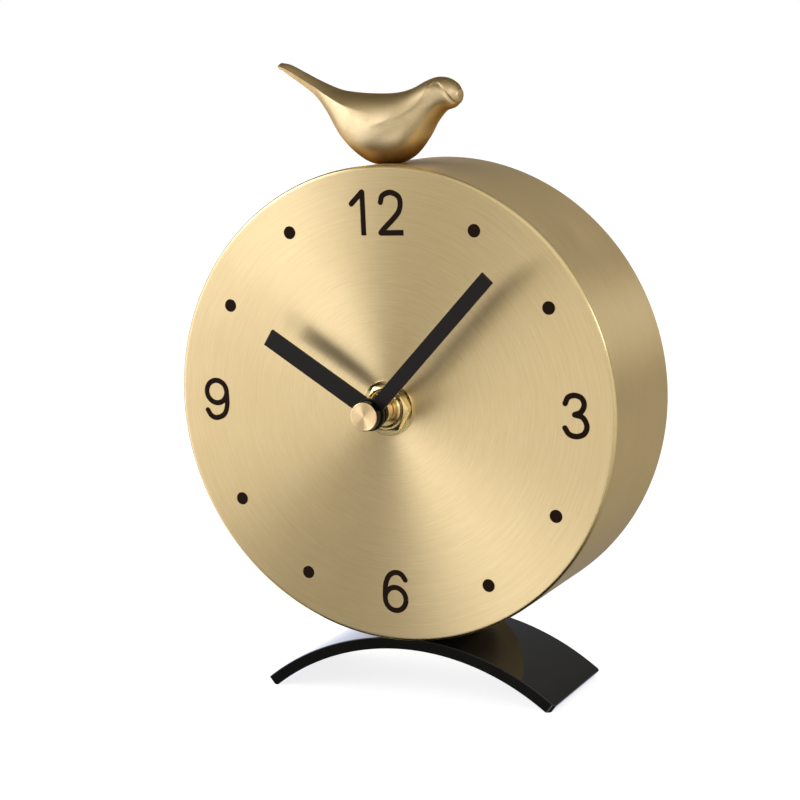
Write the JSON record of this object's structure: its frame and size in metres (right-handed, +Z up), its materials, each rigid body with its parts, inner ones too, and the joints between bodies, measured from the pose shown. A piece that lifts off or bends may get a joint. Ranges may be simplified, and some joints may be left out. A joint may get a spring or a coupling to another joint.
{
  "type": "desk clock",
  "caption": "Drum-shaped desk clock on an arched strip foot with a small bird on top, straight hands, and a battery movement behind the dial.",
  "frame": {"origin": "middle of the bounding box on the plane that the foot's two standing flats rest on", "axes": "+Z up, the dial faces -Y, +X to the right seen from the front"},
  "size_m": [0.11, 0.0476, 0.1482],
  "materials": {
    "brushed_brass": "brushed satin, in rings on the dial, clear lacquered",
    "cast_brass": "satin, brushed along the body",
    "turned_brass": "turned, bright",
    "black_lacquer": "gloss black",
    "black_paint": "satin black",
    "black_plastic": "fine moulded texture",
    "black_rubber": "matt",
    "white_plastic": "moulded, natural",
    "circuit_board": "green solder mask",
    "zinc_steel": "zinc plated",
    "copper_wire": "enamelled wire",
    "magnet": "sintered",
    "battery_sleeve": "plain printed sleeve, satin"
  },
  "bodies": {
    "case": {"drum_case": "brushed_brass", "rear_cover": "black_plastic", "foot": "black_lacquer", "foot_screw_front": "zinc_steel", "foot_screw_rear": "zinc_steel", "foot_nut_front": "zinc_steel", "foot_nut_rear": "zinc_steel", "bird": "cast_brass", "bird_screw": "zinc_steel", "dial_washer": "turned_brass", "stem_nut": "turned_brass", "cushion_ring": "black_rubber", "threaded_bush": "turned_brass", "stator": "zinc_steel", "coil_core": "zinc_steel", "coil_bobbin": "white_plastic", "coil_winding": "copper_wire", "circuit_board": "circuit_board", "quartz_crystal": "zinc_steel", "driver_chip": "black_plastic", "train_plate": "white_plastic", "front_housing": "black_plastic", "rear_housing": "black_plastic", "plus_contact": "zinc_steel", "minus_spring": "zinc_steel"},
    "minute_works": {"minute_arbor": "turned_brass", "minute_hand": "black_paint", "cap_nut": "black_paint", "cap_face": "turned_brass", "clutch_washer": "zinc_steel"},
    "hour_works": {"hour_wheel": "white_plastic", "hour_hand": "black_paint"},
    "setting_works": {"reversing_wheel": "white_plastic", "setting_knob": "black_plastic"},
    "centre_gear": {"centre_wheel": "white_plastic"},
    "third_gear": {"third_wheel": "white_plastic"},
    "fourth_gear": {"fourth_wheel": "white_plastic"},
    "fifth_gear": {"fifth_wheel": "white_plastic"},
    "rotor": {"rotor_pinion": "white_plastic", "rotor_magnet": "magnet"},
    "battery": {"battery_cell": "battery_sleeve"}
  },
  "joints": [
    {"name": "minute_turn", "type": "hinge", "parent": "case", "child": "minute_works", "pos_m": [0, 0, 0.06955], "axis": [0, 1, 0], "continuous": true},
    {"name": "hour_turn", "type": "hinge", "parent": "case", "child": "hour_works", "pos_m": [0, 0, 0.06955], "axis": [0, 1, 0], "continuous": true},
    {"name": "setting_turn", "type": "hinge", "parent": "case", "child": "setting_works", "pos_m": [-0.00831, 0, 0.07435], "axis": [0, 1, 0], "continuous": true},
    {"name": "rotor_turn", "type": "hinge", "parent": "case", "child": "rotor", "pos_m": [0.0045, 0, 0.08241], "axis": [0, 1, 0], "continuous": true},
    {"name": "fifth_turn", "type": "hinge", "parent": "case", "child": "fifth_gear", "pos_m": [0, 0, 0.07705], "axis": [0, 1, 0], "continuous": true},
    {"name": "fourth_turn", "type": "hinge", "parent": "case", "child": "fourth_gear", "pos_m": [0, 0, 0.06955], "axis": [0, 1, 0], "continuous": true},
    {"name": "third_turn", "type": "hinge", "parent": "case", "child": "third_gear", "pos_m": [0.00846, 0, 0.07263], "axis": [0, 1, 0], "continuous": true},
    {"name": "centre_turn", "type": "hinge", "parent": "case", "child": "centre_gear", "pos_m": [0, 0, 0.06955], "axis": [0, 1, 0], "continuous": true},
    {"name": "battery_slide", "type": "slide", "parent": "case", "child": "battery", "axis": [0, 1, 0], "range_m": [0, 0.034]}
  ],
  "couplings": [
    {"joint": "hour_turn", "follows": "minute_turn", "ratio": 0.083333},
    {"joint": "setting_turn", "follows": "minute_turn", "ratio": -0.33333},
    {"joint": "fifth_turn", "follows": "rotor_turn", "ratio": -0.16667},
    {"joint": "fourth_turn", "follows": "rotor_turn", "ratio": 0.033333},
    {"joint": "third_turn", "follows": "rotor_turn", "ratio": -0.0044444},
    {"joint": "centre_turn", "follows": "rotor_turn", "ratio": 0.00055556}
  ]
}
